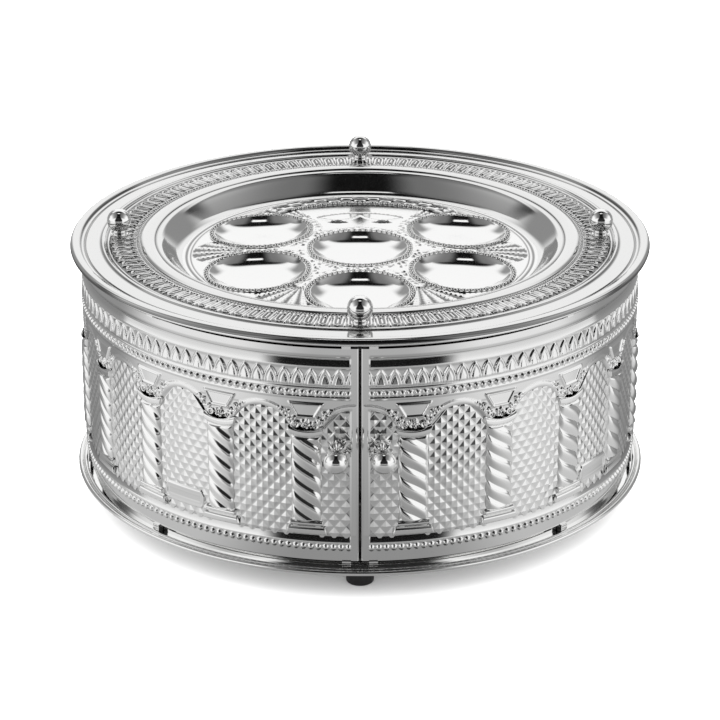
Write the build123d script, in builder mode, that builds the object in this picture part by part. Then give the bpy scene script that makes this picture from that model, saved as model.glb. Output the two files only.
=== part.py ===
from build123d import *
import os
from math import cos, degrees, radians, sin, sqrt

os.makedirs("parts", exist_ok=True)

# Three-tier seder plate: a drum with room for three matzot, two curved sliding doors
# in front and a tray with six dish wells on top. Millimetres, +Z up. The origin is on
# the drum's axis at table level, and the seam between the doors faces -Y.
# Angles run from the seam towards +X, so the right door spans 0 to 90 degrees.

# Posts that clamp the drum together, set in from the doors' outer face
post_inset = 23.5
post_names = ("front", "right", "back", "left")
rod_radius = 2.5
rod_hole_clearance = 0.3
thread_clearance = 0.05
spacer_radius = 4.5
nut_across_flats = 8.0
nut_height = 4.0
rod_end_below_nut = 1.0

# Rubber feet
foot_height = 13.0
foot_radius = 9.0
foot_round = 1.5
foot_taper = 0.4
nut_pocket_clearance = 0.1
rod_end_gap = 0.5

# Base plate, base ring and shelves
plate_sheet = 1.5
base_ring_sheet = 1.5
base_overhang = 7.5
base_bead_radius = 1.6
base_roll_radius = 1.4
base_roll_rise = 0.4
flange_margin = 8.0
trough_rise = 3.6
trough_slope = 2.0
plate_edge_gap = 1.0
shelf_sheet = 1.5
shelf_edge_gap = 3.0
shelf_lip = 3.5
shelf_lip_round = 2.5
tier_count = 3

# Doors and rear walls
door_radius = 177.5
door_height = 137.5
door_ride_height = 5.4
door_head_gap = 3.7
panel_sheet = 1.2
panel_gap_angle = 0.36
relief_height = 3.0
rail_sheet = 1.2
rail_height = 4.0
rail_drop = 2.4
rail_gap = 0.5
wall_gap = 1.0
wall_overlap_angle = 4.0

# Mouldings of the wall, counted from the door's edges
head_margin = 6.2
head_groove_height = 5.8
leaf_band_height = 11.0
bead_band_height = 8.3
moulding_gap = 0.7
foot_margin = 6.7
foot_bead_height = 4.4
foot_groove_height = 4.5
groove_depth = 0.6
band_bulge = 0.9
leaf_bulge = 0.2
leaf_count = 34
leaf_gap = 1.7
leaf_relief = 1.1
leaf_shoulder = 0.45

# Arcade of twisted columns
column_pitch_angle = 17.75
arcade_shift = 0.85
column_count = 5
plinth_foot_width = 25.0
plinth_top_width = 20.4
plinth_height = 7.6
torus_height = 3.6
shaft_width = 12.0
shaft_lead = 40.0
shaft_steps = 15
capital_height = 4.8
collar_extra = 1.4
swag_height = 8.8
keystone_height = 9.8
keystone_top_width = 22.2
keystone_foot_width = 11.0
keystone_relief = 0.9
spandrel_height = 2.4
column_field_width = 18.0
bay_depth = 0.5
arch_rise = 14.2
edge_margin = 5.8

# Door guides that run in the two rings
guide_width = 5.3
guide_angles = (2.6, 45.0, 87.4)
guide_sheet = 1.0
guide_seat = 0.1
guide_leaf_height = 9.0
guide_side_gap = 0.5
guide_floor_gap = 0.3
guide_roof_gap = 0.6
upper_guide_lip = 0.9

# Door knobs
knob_angle = 4.2
knob_height = 71.6
knob_ball_radius = 7.0
knob_reach = 14.5
knob_stem_radius = 3.0
rosette_radius = 6.5
rosette_height = 3.4
rosette_petals = 8
petal_notch_radius = 1.3
rosette_crown_radius = 4.2
rosette_seat = 0.1
screw_radius = 1.5
screw_head_radius = 3.0
screw_head_height = 1.8
screw_head_seat = 0.15
screw_hole_clearance = 0.2
screw_depth = 9.0
screw_tip_gap = 0.5

# Top ring
top_ring_sheet = 1.2
top_ring_overhang = 5.7
top_bead_radius = 1.2
top_bead_drop = 0.3
nest_step = 0.8
nest_reach = 9.0

# Tray, with the widths of its bands from the rim inwards
tray_overhang = 7.5
tray_sheet = 1.0
tray_well_depth = 13.4
floor_rise = 3.7
rim_roll_width = 8.0
rim_roll_height = 3.7
rim_roll_crest = 2.9
rim_roll_edge = 2.0
rim_curl_depth = 1.2
rim_flat_width = 11.4
rim_flat_drop = 0.8
ridge_width = 3.3
ridge_height = 0.9
pattern_band_width = 22.3
inner_roll_width = 9.0
inner_roll_height = 1.3
well_lip_width = 4.0
well_wall_run = 13.0
dish_margin = 9.5
dish_gap = 6.5
dish_depth = 6.4
dish_floor_radius = 16.0
dish_clearance = 2.7
dish_rim_width = 4.0
dish_rim_height = 0.8
dish_rim_slope = 0.4
dish_lift = 0.4
cartouche_relief = 0.7

# Finials
finial_ball_radius = 7.25
finial_ball_height = 10.5
finial_flange_radius = 5.0
finial_flange_height = 1.0
finial_neck_radius = 3.4
finial_hole_depth = 8.0

# Levels worked out from the sizes above
plate_bottom = foot_height
plate_top = plate_bottom + plate_sheet
base_flange_top = plate_top + base_ring_sheet
trough_floor = base_flange_top + trough_rise
door_bottom = trough_floor + door_ride_height
door_top = door_bottom + door_height
channel_roof = door_top + door_head_gap
top_flange_bottom = channel_roof + nest_step
top_flange_top = top_flange_bottom + top_ring_sheet
band_top = top_flange_top + tray_sheet
tray_floor = band_top - tray_well_depth
floor_crown = tray_floor + floor_rise
tier_roof = tray_floor - dish_depth - tray_sheet - dish_clearance
shelves_height = (tier_count - 1) * shelf_sheet
tier_height = (tier_roof - base_flange_top - shelves_height) / tier_count
lower_shelf_top = base_flange_top + tier_height + shelf_sheet
upper_shelf_top = lower_shelf_top + tier_height + shelf_sheet
rod_bottom = plate_bottom - nut_height - rod_end_below_nut
rod_top = band_top + finial_hole_depth - rod_end_gap

# Radii worked out from the sizes above
door_inner = door_radius - panel_sheet
guide_inner = door_inner - guide_seat - guide_sheet
rail_outer = guide_inner - rail_gap
rail_inner = rail_outer - rail_sheet
wall_radius = rail_inner - wall_gap - relief_height
wall_inner = wall_radius - panel_sheet
shelf_radius = wall_inner - shelf_edge_gap
post_radius = door_radius - post_inset
flange_inner = post_radius - flange_margin
nest_radius = post_radius + nest_reach
base_bead_circle = door_radius + base_overhang - base_bead_radius
base_roll_circle = base_bead_circle - base_bead_radius - base_roll_radius
top_bead_circle = door_radius + top_ring_overhang - top_bead_radius
plate_radius = rail_inner - plate_edge_gap
tray_radius = door_radius + tray_overhang
rim_roll_inner = tray_radius - rim_roll_width
ridge_outer = rim_roll_inner - rim_flat_width
ridge_inner = ridge_outer - ridge_width
inner_roll_outer = ridge_inner - pattern_band_width
inner_roll_radius = inner_roll_outer - inner_roll_width
tray_wall_radius = inner_roll_radius - well_lip_width
tray_floor_radius = tray_wall_radius - well_wall_run

# Six dishes around the middle one share out the tray's floor
dish_radius = (tray_floor_radius - dish_margin - dish_gap - 2 * dish_rim_width) / 3
dish_circle_radius = 2 * (dish_radius + dish_rim_width) + dish_gap
floor_flat_radius = dish_circle_radius / 2
floor_slope = floor_rise / (tray_floor_radius - floor_flat_radius)

# Wall mouldings and arcade levels, shared by the doors and the rear walls
foot_bead_low = door_bottom + foot_margin
foot_bead_high = foot_bead_low + foot_bead_height
foot_groove_low = foot_bead_high + moulding_gap
foot_groove_high = foot_groove_low + foot_groove_height
head_groove_high = door_top - head_margin
head_groove_low = head_groove_high - head_groove_height
leaf_band_high = head_groove_low - moulding_gap
leaf_band_low = leaf_band_high - leaf_band_height
bead_band_high = leaf_band_low - moulding_gap
bead_band_low = bead_band_high - bead_band_height
arcade_floor = foot_groove_high + moulding_gap
torus_low = arcade_floor + plinth_height
shaft_low = torus_low + torus_height
keystone_high = bead_band_low - spandrel_height
keystone_low = keystone_high - keystone_height
capital_high = keystone_low - swag_height
shaft_high = capital_high - capital_height
shaft_height = shaft_high - shaft_low
arch_spring = capital_high
wall_mouldings = (
    (foot_bead_low, foot_bead_high, band_bulge),
    (foot_groove_low, foot_groove_high, -groove_depth),
    (bead_band_low, bead_band_high, band_bulge),
    (leaf_band_low, leaf_band_high, leaf_bulge),
    (head_groove_low, head_groove_high, -groove_depth),
)

quarter = 360.0 / len(post_names)


def outward(angle):
    """Unit vector that points out of the drum at an angle from the seam."""
    return Vector(sin(radians(angle)), -cos(radians(angle)), 0)


def section_plane(angle):
    """Upright plane through the drum's axis: x runs outwards and y runs up."""
    return Plane(origin=(0, 0, 0), x_dir=outward(angle), z_dir=outward(angle - quarter))


def face_plane(angle, radius, height):
    """Plane that lies on the wall: x runs to the right, y runs up, z points out."""
    origin = outward(angle) * radius + Vector(0, 0, height)
    return Plane(origin=origin, x_dir=outward(angle + quarter), z_dir=outward(angle))


def level_plane(angle, radius, height, turn=0.0):
    """Level plane centred on a point of the wall, turned about its upright axis."""
    origin = outward(angle) * radius + Vector(0, 0, height)
    return Plane(origin=origin, x_dir=outward(angle + turn), z_dir=(0, 0, 1))


def post_plane(index, height):
    """Level plane centred on one of the four posts."""
    return level_plane(index * quarter, post_radius, height)


def save(piece, name):
    """Label a finished piece and write it to its own file."""
    piece.label = name
    export_step(piece, f"parts/{name}.step")


def arcade_panel(radius, bottom, top, overlap_before=0.0, overlap_after=0.0, shift=0.0):
    """A quarter of the stamped wall from the seam towards +X: mouldings, arched bays
    and twisted columns. An overlap carries the plain edge on behind a door, and a shift
    moves the arcade along the wall."""
    middle = quarter / 2
    margin_angle = degrees(edge_margin / radius)
    shaft_radius = shaft_width / sqrt(2)
    shaft_axis = radius + relief_height - shaft_radius
    collar_radius = shaft_radius + collar_extra
    bay_width = radians(column_pitch_angle) * radius - column_field_width

    # One column on its plinth with the keystone over it, cut to the depth of the relief
    with BuildPart() as column:
        for step in range(shaft_steps + 1):
            rise = shaft_height * step / shaft_steps
            twist = -360.0 * rise / shaft_lead
            with BuildSketch(level_plane(middle, shaft_axis, shaft_low + rise, twist)):
                Rectangle(shaft_width, shaft_width)
        loft(ruled=True)
        with BuildSketch(level_plane(middle, shaft_axis, torus_low)):
            Circle(collar_radius)
        extrude(amount=torus_height)
        with BuildSketch(level_plane(middle, shaft_axis, shaft_high)):
            Circle(collar_radius)
        extrude(amount=capital_height)
        with BuildSketch(face_plane(middle, radius - panel_sheet, arcade_floor)):
            with BuildLine():
                Polyline(
                    (-plinth_foot_width / 2, 0),
                    (plinth_foot_width / 2, 0),
                    (plinth_top_width / 2, plinth_height),
                    (-plinth_top_width / 2, plinth_height),
                    close=True,
                )
            make_face()
        extrude(amount=panel_sheet + relief_height)
        with BuildSketch(face_plane(middle, radius - panel_sheet, keystone_low)):
            with BuildLine():
                Polyline(
                    (-keystone_foot_width / 2, 0),
                    (keystone_foot_width / 2, 0),
                    (keystone_top_width / 2, keystone_height),
                    (-keystone_top_width / 2, keystone_height),
                    close=True,
                )
            make_face()
        extrude(amount=panel_sheet + keystone_relief)
        with BuildSketch(section_plane(0)):
            with Locations((radius - panel_sheet / 2, arcade_floor)):
                Rectangle(
                    panel_sheet / 2 + relief_height,
                    keystone_high - arcade_floor,
                    align=(Align.MIN, Align.MIN),
                )
        revolve(axis=Axis.Z, revolution_arc=quarter, mode=Mode.INTERSECT)

    # Arched bays between the columns, as the metal that the press moves in
    with BuildPart() as bays:
        for bay in range(column_count + 1):
            angle = middle + shift + (bay - column_count / 2) * column_pitch_angle
            with BuildSketch(face_plane(angle, radius - relief_height, 0)):
                with BuildLine():
                    Polyline(
                        (-bay_width / 2, arch_spring),
                        (-bay_width / 2, arcade_floor),
                        (bay_width / 2, arcade_floor),
                        (bay_width / 2, arch_spring),
                    )
                    ThreePointArc(
                        (bay_width / 2, arch_spring),
                        (0, arch_spring + arch_rise),
                        (-bay_width / 2, arch_spring),
                    )
                make_face()
            extrude(amount=2 * relief_height)
        with BuildSketch(section_plane(margin_angle)):
            with Locations((radius - bay_depth, arcade_floor)):
                Rectangle(
                    bay_depth + relief_height,
                    keystone_high - arcade_floor,
                    align=(Align.MIN, Align.MIN),
                )
        revolve(axis=Axis.Z, revolution_arc=quarter - 2 * margin_angle, mode=Mode.INTERSECT)

    # Pointed leaves side by side along the leaf band
    leaf_angle = quarter / leaf_count
    leaf_half = radians(leaf_angle) * radius / 2 - leaf_gap / 2
    with BuildPart() as leaves:
        for leaf in range(1, leaf_count - 1):
            angle = (leaf + 0.5) * leaf_angle
            with BuildSketch(face_plane(angle, radius - panel_sheet / 2, leaf_band_low)):
                with BuildLine():
                    Polyline(
                        (-leaf_half, 0),
                        (leaf_half, 0),
                        (leaf_half, leaf_band_height * leaf_shoulder),
                        (0, leaf_band_height),
                        (-leaf_half, leaf_band_height * leaf_shoulder),
                        close=True,
                    )
                make_face()
            extrude(amount=panel_sheet / 2 + leaf_relief)

    with BuildPart() as panel:
        with BuildSketch(section_plane(panel_gap_angle / 2 - overlap_before)):
            with BuildLine():
                reached = (radius, bottom)
                for low, high, bulge in wall_mouldings:
                    Line(reached, (radius, low))
                    ThreePointArc((radius, low), (radius + bulge, (low + high) / 2), (radius, high))
                    reached = (radius, high)
                Polyline(
                    reached,
                    (radius, top),
                    (radius - panel_sheet, top),
                    (radius - panel_sheet, bottom),
                    (radius, bottom),
                )
            make_face()
        panel_arc = quarter - panel_gap_angle + overlap_before + overlap_after
        revolve(axis=Axis.Z, revolution_arc=panel_arc)
        add(bays.part, mode=Mode.SUBTRACT)
        add(leaves.part)
        for place in range(column_count):
            turn = shift + (place - (column_count - 1) / 2) * column_pitch_angle
            add(column.part, rotation=(0, 0, turn))
    return panel.part


# Rubber feet, pressed over the nuts at the lower ends of the rods
nut_corner_radius = nut_across_flats / sqrt(3)
nut_pocket_radius = nut_corner_radius + nut_pocket_clearance
for index, post in enumerate(post_names):
    with BuildPart() as foot:
        with BuildSketch(post_plane(index, 0)):
            Circle(foot_radius - foot_taper)
        with BuildSketch(post_plane(index, foot_height)):
            Circle(foot_radius)
        loft()
        fillet(foot.faces().sort_by(Axis.Z)[0].edges(), foot_round)
        with BuildSketch(post_plane(index, foot_height)):
            Circle(nut_pocket_radius)
        extrude(amount=rod_bottom - rod_end_gap - foot_height, mode=Mode.SUBTRACT)
    save(foot.part, f"{post}_foot")

# Hexagon nuts under the base plate
with BuildPart() as rod_nuts:
    with BuildSketch(Plane.XY.offset(plate_bottom - nut_height)):
        with PolarLocations(post_radius, len(post_names)):
            RegularPolygon(nut_corner_radius, 6)
            Circle(rod_radius + thread_clearance, mode=Mode.SUBTRACT)
    extrude(amount=nut_height)
save(rod_nuts.part, "rod_nuts")

# Tie rods from the feet to the finials
for index, post in enumerate(post_names):
    with BuildPart() as rod:
        with BuildSketch(post_plane(index, rod_bottom)):
            Circle(rod_radius)
        extrude(amount=rod_top - rod_bottom)
        chamfer(rod.edges().filter_by(GeomType.CIRCLE), rod_radius / 5)
    save(rod.part, f"{post}_tie_rod")

# Base plate, the floor of the lowest tier
with BuildPart() as base_plate:
    with BuildSketch(Plane.XY.offset(plate_bottom)):
        Circle(plate_radius)
        with PolarLocations(post_radius, len(post_names)):
            Circle(rod_radius + rod_hole_clearance, mode=Mode.SUBTRACT)
    extrude(amount=plate_sheet)
save(base_plate.part, "base_plate")

# Base ring: flange under the posts, inner rail, trough for the guides, wired edge
trough_underside = trough_floor - base_ring_sheet
with BuildPart() as base_ring:
    with BuildSketch(section_plane(0)):
        with BuildLine():
            Polyline(
                (flange_inner, plate_top),
                (rail_inner, plate_top),
                (rail_inner + trough_slope, trough_underside),
                (base_bead_circle, trough_underside),
                (base_bead_circle, trough_floor),
                (rail_outer, trough_floor),
                (rail_outer, trough_floor + rail_height),
                (rail_inner, trough_floor + rail_height),
                (rail_inner, base_flange_top),
                (flange_inner, base_flange_top),
                close=True,
            )
        make_face()
        with Locations((base_bead_circle, trough_underside + base_bead_radius)):
            Circle(base_bead_radius)
        with Locations((base_roll_circle, trough_floor + base_roll_rise)):
            Circle(base_roll_radius)
    revolve(axis=Axis.Z)
    with BuildSketch(Plane.XY.offset(plate_top)):
        with PolarLocations(post_radius, len(post_names)):
            Circle(rod_radius + rod_hole_clearance)
    extrude(amount=base_ring_sheet, mode=Mode.SUBTRACT)
save(base_ring.part, "base_ring")

# Shelves with a turned-down lip, the floors of the middle and upper tiers
for name, top in (("lower_shelf", lower_shelf_top), ("upper_shelf", upper_shelf_top)):
    lip_centre = (shelf_radius - shelf_lip_round, top - shelf_lip_round)
    with BuildPart() as shelf:
        with BuildSketch(section_plane(0)):
            with BuildLine():
                Line((0, top), (lip_centre[0], top))
                CenterArc(lip_centre, shelf_lip_round, 0, 90)
                Line((shelf_radius, lip_centre[1]), (shelf_radius, top - shelf_lip))
                offset(amount=shelf_sheet, side=Side.RIGHT)
            make_face()
        revolve(axis=Axis.Z)
        with BuildSketch(Plane.XY.offset(top)):
            with PolarLocations(post_radius, len(post_names)):
                Circle(rod_radius + rod_hole_clearance)
        extrude(amount=-shelf_sheet, mode=Mode.SUBTRACT)
    save(shelf.part, name)

# Spacer tubes that hold the plates and rings apart
spacer_runs = (
    ("lower_spacers", base_flange_top, lower_shelf_top - shelf_sheet),
    ("middle_spacers", lower_shelf_top, upper_shelf_top - shelf_sheet),
    ("upper_spacers", upper_shelf_top, top_flange_bottom),
)
for name, low, high in spacer_runs:
    with BuildPart() as spacers:
        with BuildSketch(Plane.XY.offset(low)):
            with PolarLocations(post_radius, len(post_names)):
                Circle(spacer_radius)
                Circle(rod_radius + rod_hole_clearance, mode=Mode.SUBTRACT)
        extrude(amount=high - low)
    save(spacers.part, name)

# Fixed rear walls, clamped between the two rings inside the doors' path
rear_walls = (
    ("right_rear_wall", quarter, wall_overlap_angle, 0.0),
    ("left_rear_wall", 2 * quarter, 0.0, wall_overlap_angle),
)
for name, turn, before, after in rear_walls:
    with BuildPart() as rear_wall:
        rear_panel = arcade_panel(wall_radius, base_flange_top, channel_roof, before, after)
        add(rear_panel, rotation=(0, 0, turn))
    save(rear_wall.part, name)

# Top ring: flange on the spacers, inner rail, roof over the guides, wired edge
with BuildPart() as top_ring:
    with BuildSketch(section_plane(0)):
        with BuildLine():
            Polyline(
                (flange_inner, top_flange_bottom),
                (nest_radius, top_flange_bottom),
                (nest_radius + nest_step, channel_roof),
                (rail_inner, channel_roof),
                (rail_inner, door_top + door_head_gap - rail_drop),
                (rail_outer, door_top + door_head_gap - rail_drop),
                (rail_outer, channel_roof),
                (top_bead_circle, channel_roof),
                (top_bead_circle, channel_roof + top_ring_sheet),
                (nest_radius + nest_step, channel_roof + top_ring_sheet),
                (nest_radius, top_flange_top),
                (flange_inner, top_flange_top),
                close=True,
            )
        make_face()
        with Locations((top_bead_circle, channel_roof - top_bead_drop + top_bead_radius)):
            Circle(top_bead_radius)
    revolve(axis=Axis.Z)
    with BuildSketch(Plane.XY.offset(top_flange_bottom)):
        with PolarLocations(post_radius, len(post_names)):
            Circle(rod_radius + rod_hole_clearance)
    extrude(amount=top_ring_sheet, mode=Mode.SUBTRACT)
save(top_ring.part, "top_ring")

# Tray: one pressed sheet with a rolled rim, a ridge, an inner roll and a deep well
rim_flat_top = band_top - rim_flat_drop
rim_edge_top = rim_flat_top + rim_roll_edge
dish_centres = [(0.0, 0.0)]
for turn in (-120, -60, 0, 60, 120):
    spot = outward(turn) * dish_circle_radius
    dish_centres.append((spot.X, spot.Y))
cartouche_spot = outward(180) * dish_circle_radius

def floor_plane(x, y, lift=0.0):
    """Plane on the tray's floor at a point, lifted off it. The middle of the floor is
    level and the rest falls towards the wall."""
    reach = sqrt(x**2 + y**2)
    fall = floor_slope * max(reach - floor_flat_radius, 0)
    lean = floor_slope / reach if reach > floor_flat_radius else 0.0
    normal = Vector(x * lean, y * lean, 1).normalized()
    origin = Vector(x, y, floor_crown - fall) + normal * lift
    return Plane(origin=origin, x_dir=(1, 0, -x * lean), z_dir=normal)


# Dish bowl: level bottom, hollow corner and a wall that slopes at 45 degrees
dish_corner = (dish_radius - dish_floor_radius - dish_depth) / (sqrt(2) - 1)
dish_corner_centre = (dish_floor_radius, dish_corner - dish_depth)


def dish_bowl(corner_radius):
    """Body of a dish up to its own rim level, from the radius of its hollow corner."""
    with BuildPart() as bowl:
        with BuildSketch(section_plane(0)):
            with BuildLine():
                corner = CenterArc(dish_corner_centre, corner_radius, -90, 45)
                rim = (corner @ 1).X - (corner @ 1).Y
                Polyline((0, 0), (0, (corner @ 0).Y), corner @ 0)
                Polyline(corner @ 1, (rim, 0), (0, 0))
            make_face()
        revolve(axis=Axis.Z)
    return bowl.part


dish_cap = dish_bowl(dish_corner + tray_sheet)
dish_hollow = dish_bowl(dish_corner)
dish_planes = [floor_plane(x, y, dish_lift) for x, y in dish_centres]
with BuildPart() as dish_rim:
    with BuildSketch(section_plane(0)):
        with BuildLine():
            Polyline(
                (dish_radius, -tray_sheet),
                (dish_radius + dish_rim_width, -tray_sheet),
                (dish_radius + dish_rim_width - dish_rim_slope, dish_rim_height),
                (dish_radius + dish_rim_slope, dish_rim_height),
                close=True,
            )
        make_face()
    revolve(axis=Axis.Z)
with BuildPart() as seder_tray:
    with BuildSketch(section_plane(0)):
        with BuildLine():
            Polyline(
                (0, floor_crown),
                (floor_flat_radius, floor_crown),
                (tray_floor_radius, tray_floor),
                (tray_wall_radius, band_top),
                (inner_roll_radius, band_top),
            )
            ThreePointArc(
                (inner_roll_radius, band_top),
                ((inner_roll_radius + inner_roll_outer) / 2, band_top + inner_roll_height),
                (inner_roll_outer, band_top),
            )
            Line((inner_roll_outer, band_top), (ridge_inner, band_top))
            ThreePointArc(
                (ridge_inner, band_top),
                ((ridge_inner + ridge_outer) / 2, band_top + ridge_height),
                (ridge_outer, band_top),
            )
            Line((ridge_outer, band_top), (rim_roll_inner, rim_flat_top))
            ThreePointArc(
                (rim_roll_inner, rim_flat_top),
                (tray_radius - rim_roll_crest, rim_flat_top + rim_roll_height),
                (tray_radius, rim_edge_top),
            )
            Line((tray_radius, rim_edge_top), (tray_radius, rim_edge_top - rim_curl_depth))
            offset(amount=tray_sheet, side=Side.RIGHT)
        make_face()
    revolve(axis=Axis.Z)
    # Dish bowls: a cap pressed below the floor, then hollowed, with a raised rim
    with Locations(*dish_planes):
        add(dish_cap)
    with Locations(*dish_planes):
        add(dish_rim.part)
    with Locations(*dish_planes):
        add(dish_hollow, mode=Mode.SUBTRACT)
    # Raised cartouche in the sixth place, left bare
    with BuildSketch(floor_plane(cartouche_spot.X, cartouche_spot.Y, -tray_sheet / 2)):
        Ellipse(dish_radius, dish_radius / 2)
    extrude(amount=tray_sheet / 2 + cartouche_relief)
    with BuildSketch(Plane.XY.offset(band_top)):
        with PolarLocations(post_radius, len(post_names)):
            Circle(rod_radius + rod_hole_clearance)
    extrude(amount=-tray_sheet, mode=Mode.SUBTRACT)
save(seder_tray.part, "seder_tray")

# Finials: ball nuts that hold the tray down on the rods
for index, post in enumerate(post_names):
    ball_foot = finial_ball_height - sqrt(finial_ball_radius**2 - finial_neck_radius**2)
    foot_point = outward(index * quarter) * post_radius
    with BuildPart() as finial:
        with BuildSketch(section_plane(index * quarter)):
            with BuildLine(Plane(origin=(post_radius, band_top))):
                Polyline(
                    (0, 0),
                    (finial_flange_radius, 0),
                    (finial_flange_radius, finial_flange_height),
                    (finial_neck_radius, finial_flange_height),
                    (finial_neck_radius, ball_foot),
                )
                ThreePointArc(
                    (finial_neck_radius, ball_foot),
                    (finial_ball_radius, finial_ball_height),
                    (0, finial_ball_height + finial_ball_radius),
                )
                Line((0, finial_ball_height + finial_ball_radius), (0, 0))
            make_face()
        revolve(axis=Axis((foot_point.X, foot_point.Y, 0), (0, 0, 1)))
        with BuildSketch(post_plane(index, band_top)):
            Circle(rod_radius + thread_clearance)
        extrude(amount=finial_hole_depth, mode=Mode.SUBTRACT)
    save(finial.part, f"{post}_finial")

# Doors with their knobs and guides
knob_level = door_bottom + knob_height
knob_seat = door_radius - bay_depth + rosette_seat
stem_start = knob_seat + rosette_height
ball_circle = door_radius + knob_reach
for side, start, away in (("right", 0.0, 1), ("left", -quarter, -1)):
    knob_turn = away * knob_angle
    door_panel = arcade_panel(door_radius, door_bottom, door_top, shift=away * arcade_shift)
    with BuildPart() as door:
        add(door_panel, rotation=(0, 0, start))
        with BuildSketch(face_plane(knob_turn, door_inner - panel_sheet, knob_level)):
            Circle(screw_radius + screw_hole_clearance)
        extrude(amount=2 * panel_sheet, mode=Mode.SUBTRACT)
    save(door.part, f"{side}_door")

    # Flower-shaped rosette between the knob and the door
    with BuildPart() as rosette:
        with BuildSketch(face_plane(knob_turn, knob_seat, knob_level)):
            Circle(rosette_radius)
        with BuildSketch(face_plane(knob_turn, stem_start, knob_level)):
            Circle(rosette_crown_radius)
        loft()
        with BuildSketch(face_plane(knob_turn, knob_seat, knob_level)):
            with PolarLocations(rosette_radius, rosette_petals):
                Circle(petal_notch_radius)
            Circle(screw_radius + screw_hole_clearance)
        extrude(amount=rosette_height, mode=Mode.SUBTRACT)
    save(rosette.part, f"{side}_knob_rosette")

    # Ball knob on a short stem, tapped for the screw
    with BuildPart() as knob:
        with BuildSketch(face_plane(knob_turn, stem_start, knob_level)):
            Circle(knob_stem_radius)
        extrude(amount=ball_circle - stem_start)
        with Locations(face_plane(knob_turn, ball_circle, knob_level)):
            Sphere(knob_ball_radius)
        with BuildSketch(face_plane(knob_turn, stem_start, knob_level)):
            Circle(screw_radius + thread_clearance)
        extrude(amount=screw_depth, mode=Mode.SUBTRACT)
    save(knob.part, f"{side}_knob")

    # Round-headed screw from inside the door
    head_seat = door_inner - screw_head_seat
    screw_end = stem_start + screw_depth - screw_tip_gap
    with BuildPart() as screw:
        with BuildSketch(face_plane(knob_turn, head_seat, knob_level)):
            Circle(screw_head_radius)
        extrude(amount=-screw_head_height)
        fillet(screw.edges().filter_by(GeomType.CIRCLE).sort_by(SortBy.DISTANCE)[0], screw_head_height / 2)
        with BuildSketch(face_plane(knob_turn, head_seat, knob_level)):
            Circle(screw_radius)
        extrude(amount=screw_end - head_seat)
    save(screw.part, f"{side}_knob_screw")

    # Guides: bent clips behind the panel's edges that run between rail and bead
    lower_guide_outer = base_roll_circle - base_roll_radius - guide_side_gap
    upper_guide_outer = door_radius + upper_guide_lip
    guide_profiles = (
        ("lower", lower_guide_outer, trough_floor + guide_floor_gap, door_bottom),
        ("upper", upper_guide_outer, channel_roof - guide_roof_gap, door_top),
    )
    guide_arc = degrees(guide_width / door_radius)
    for edge, outer, tip, seam in guide_profiles:
        into_panel = guide_leaf_height if seam > tip else -guide_leaf_height
        with BuildPart() as guides:
            for turn in guide_angles:
                with BuildSketch(section_plane(start + turn - guide_arc / 2)):
                    with BuildLine():
                        Polyline(
                            (guide_inner, tip),
                            (outer, tip),
                            (outer, seam),
                            (guide_inner + guide_sheet, seam),
                            (guide_inner + guide_sheet, seam + into_panel),
                            (guide_inner, seam + into_panel),
                            close=True,
                        )
                    make_face()
                revolve(axis=Axis.Z, revolution_arc=guide_arc)
        save(guides.part, f"{side}_{edge}_guides")
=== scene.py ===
import math

import bpy
import numpy as np
from mathutils import Matrix, Vector


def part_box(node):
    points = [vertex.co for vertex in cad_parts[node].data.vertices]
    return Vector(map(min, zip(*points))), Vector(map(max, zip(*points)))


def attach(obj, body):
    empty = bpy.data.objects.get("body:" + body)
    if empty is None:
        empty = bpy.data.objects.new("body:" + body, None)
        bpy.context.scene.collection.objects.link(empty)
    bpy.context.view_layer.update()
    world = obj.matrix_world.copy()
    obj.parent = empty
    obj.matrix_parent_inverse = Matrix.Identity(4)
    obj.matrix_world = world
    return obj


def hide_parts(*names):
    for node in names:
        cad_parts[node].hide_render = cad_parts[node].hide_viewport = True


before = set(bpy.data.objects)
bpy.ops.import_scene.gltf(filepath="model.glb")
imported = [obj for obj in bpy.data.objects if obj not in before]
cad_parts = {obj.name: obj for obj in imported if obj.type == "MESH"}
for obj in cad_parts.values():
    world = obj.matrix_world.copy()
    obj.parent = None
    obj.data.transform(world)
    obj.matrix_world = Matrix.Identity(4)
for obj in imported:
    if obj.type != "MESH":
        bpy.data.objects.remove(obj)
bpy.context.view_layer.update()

mm = 0.001


# Rubber feet
# Black moulded rubber stubs, pushed over the nuts at the lower ends of the tie rods.
# The flat upper end meets the base plate and the rounded lower end stands on the table.
foot_taper = 0.4 * mm
foot_round = 1.5 * mm
rubber_black = (0.012, 0.012, 0.013, 1.0)
posts = ("front", "right", "back", "left")


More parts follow.
